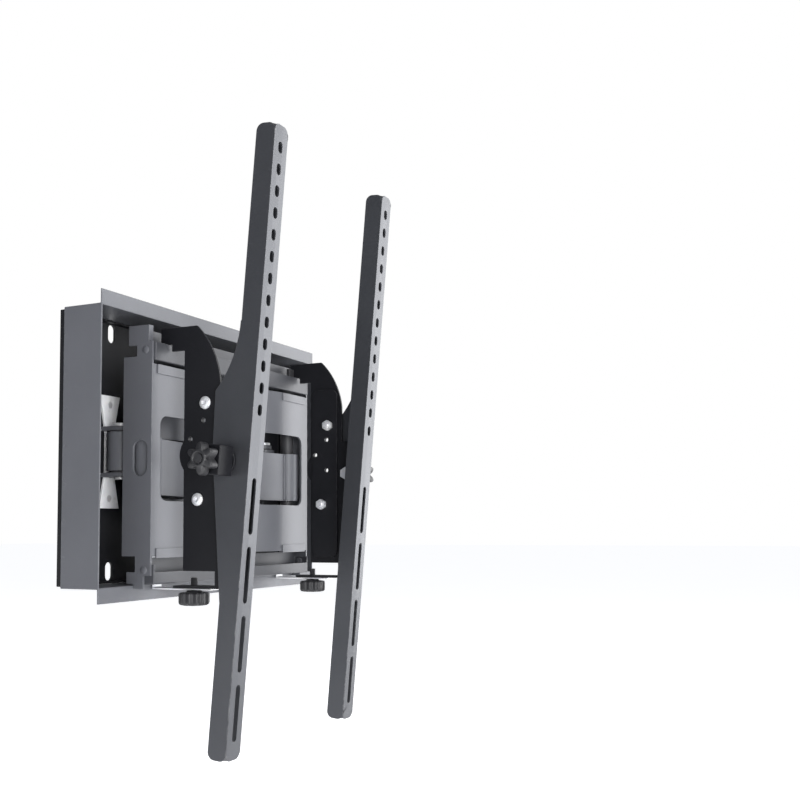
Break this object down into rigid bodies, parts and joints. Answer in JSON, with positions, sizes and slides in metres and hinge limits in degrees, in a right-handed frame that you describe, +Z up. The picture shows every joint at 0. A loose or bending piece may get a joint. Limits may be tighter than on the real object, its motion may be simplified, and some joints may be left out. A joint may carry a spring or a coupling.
{
  "type": "full motion tv wall mount",
  "caption": "Recessed wall box with folding steel arms, a railed head frame and tilting slotted brackets that carry a flat screen.",
  "frame": {"origin": "centre of the back face of the recess box, where the wall screws go in", "axes": "+X to the right along the wall seen from the room, -Y out of the wall into the room, +Z up"},
  "size_m": [0.47, 0.2353, 0.7186],
  "materials": {
    "silver_paint": "satin silver grey powder coat",
    "zinc_steel": "bright zinc plate",
    "black_paint": "satin black powder coat",
    "black_knob": "moulded black plastic",
    "black_nylon": "natural satin nylon"
  },
  "bodies": {
    "wall_box": {"recess_shell": "silver_paint", "back_plate": "black_paint", "wall_bracket_left": "zinc_steel", "wall_bracket_right": "zinc_steel", "wall_bracket_rivets": "zinc_steel", "wall_hinge_pins": "zinc_steel", "wall_hinge_washers": "black_nylon"},
    "head_frame": {"head_column_left": "silver_paint", "head_column_right": "silver_paint", "head_pins": "zinc_steel", "head_sleeves": "black_nylon", "top_rail": "silver_paint", "bottom_rail": "silver_paint", "column_rims": "silver_paint", "rail_rivets": "silver_paint"},
    "rear_link_left": {"rear_arm_left": "silver_paint", "elbow_pin_left": "zinc_steel", "elbow_washers_left": "black_nylon"},
    "front_link_left": {"front_arm_left": "silver_paint"},
    "ear_left": {"ear_plate_left": "black_paint", "ear_doubler_left": "black_paint", "ear_bolts_left": "zinc_steel", "ear_nuts_left": "zinc_steel", "hook_pad_left": "black_nylon", "rail_latch_left": "zinc_steel", "pivot_bolt_left": "zinc_steel", "stop_pin_left": "zinc_steel"},
    "tv_arm_left": {"tv_bracket_left": "silver_paint", "tilt_cup_left": "black_paint", "tilt_block_left": "black_paint"},
    "tilt_knob_left": {"tilt_knob_left": "black_knob"},
    "lock_knob_left": {"lock_knob_left": "black_knob"},
    "rear_link_right": {"rear_arm_right": "silver_paint", "elbow_pin_right": "zinc_steel", "elbow_washers_right": "black_nylon"},
    "front_link_right": {"front_arm_right": "silver_paint"},
    "ear_right": {"ear_plate_right": "black_paint", "ear_doubler_right": "black_paint", "ear_bolts_right": "zinc_steel", "ear_nuts_right": "zinc_steel", "hook_pad_right": "black_nylon", "rail_latch_right": "zinc_steel", "pivot_bolt_right": "zinc_steel", "stop_pin_right": "zinc_steel"},
    "tv_arm_right": {"tv_bracket_right": "silver_paint", "tilt_cup_right": "black_paint", "tilt_block_right": "black_paint"},
    "tilt_knob_right": {"tilt_knob_right": "black_knob"},
    "lock_knob_right": {"lock_knob_right": "black_knob"}
  },
  "joints": [
    {"name": "wall_hinge_left", "type": "hinge", "parent": "wall_box", "child": "rear_link_left", "pos_m": [-0.156, -0.024, 0], "axis": [0, 0, -1], "range_deg": [0, 65]},
    {"name": "elbow_left", "type": "hinge", "parent": "rear_link_left", "child": "front_link_left", "pos_m": [-0.02148, -0.044, 0], "axis": [0, 0, 1], "range_deg": [0, 130]},
    {"name": "head_hinge_left", "type": "hinge", "parent": "front_link_left", "child": "head_frame", "pos_m": [-0.156, -0.064, 0], "axis": [0, 0, -1], "range_deg": [0, 65]},
    {"name": "wall_hinge_right", "type": "hinge", "parent": "wall_box", "child": "rear_link_right", "pos_m": [0.156, -0.024, 0], "axis": [0, 0, 1], "range_deg": [0, 65]},
    {"name": "elbow_right", "type": "hinge", "parent": "rear_link_right", "child": "front_link_right", "pos_m": [0.02148, -0.044, 0], "axis": [0, 0, -1], "range_deg": [0, 130]},
    {"name": "ear_slide_left", "type": "slide", "parent": "head_frame", "child": "ear_left", "axis": [1, 0, 0], "range_m": [-0.018, 0.09]},
    {"name": "tilt_left", "type": "hinge", "parent": "ear_left", "child": "tv_arm_left", "pos_m": [-0.152, -0.168, -0.016], "axis": [1, 0, 0], "range_deg": [-6, 8]},
    {"name": "tilt_knob_turn_left", "type": "hinge", "parent": "ear_left", "child": "tilt_knob_left", "pos_m": [-0.192, -0.168, -0.016], "axis": [-1, 0, 0], "range_deg": [-180, 180]},
    {"name": "lock_knob_turn_left", "type": "hinge", "parent": "ear_left", "child": "lock_knob_left", "pos_m": [-0.13725, -0.118, -0.166], "axis": [0, 0, 1], "range_deg": [-180, 180]},
    {"name": "ear_slide_right", "type": "slide", "parent": "head_frame", "child": "ear_right", "axis": [-1, 0, 0], "range_m": [-0.018, 0.09]},
    {"name": "tilt_right", "type": "hinge", "parent": "ear_right", "child": "tv_arm_right", "pos_m": [0.152, -0.168, -0.016], "axis": [1, 0, 0], "range_deg": [-6, 8]},
    {"name": "tilt_knob_turn_right", "type": "hinge", "parent": "ear_right", "child": "tilt_knob_right", "pos_m": [0.192, -0.168, -0.016], "axis": [1, 0, 0], "range_deg": [-180, 180]},
    {"name": "lock_knob_turn_right", "type": "hinge", "parent": "ear_right", "child": "lock_knob_right", "pos_m": [0.13725, -0.118, -0.166], "axis": [0, 0, 1], "range_deg": [-180, 180]}
  ],
  "couplings": [
    {"joint": "elbow_left", "follows": "wall_hinge_left", "ratio": 2},
    {"joint": "head_hinge_left", "follows": "wall_hinge_left", "ratio": 1},
    {"joint": "wall_hinge_right", "follows": "wall_hinge_left", "ratio": 1},
    {"joint": "elbow_right", "follows": "wall_hinge_left", "ratio": 2},
    {"joint": "tilt_right", "follows": "tilt_left", "ratio": 1}
  ]
}
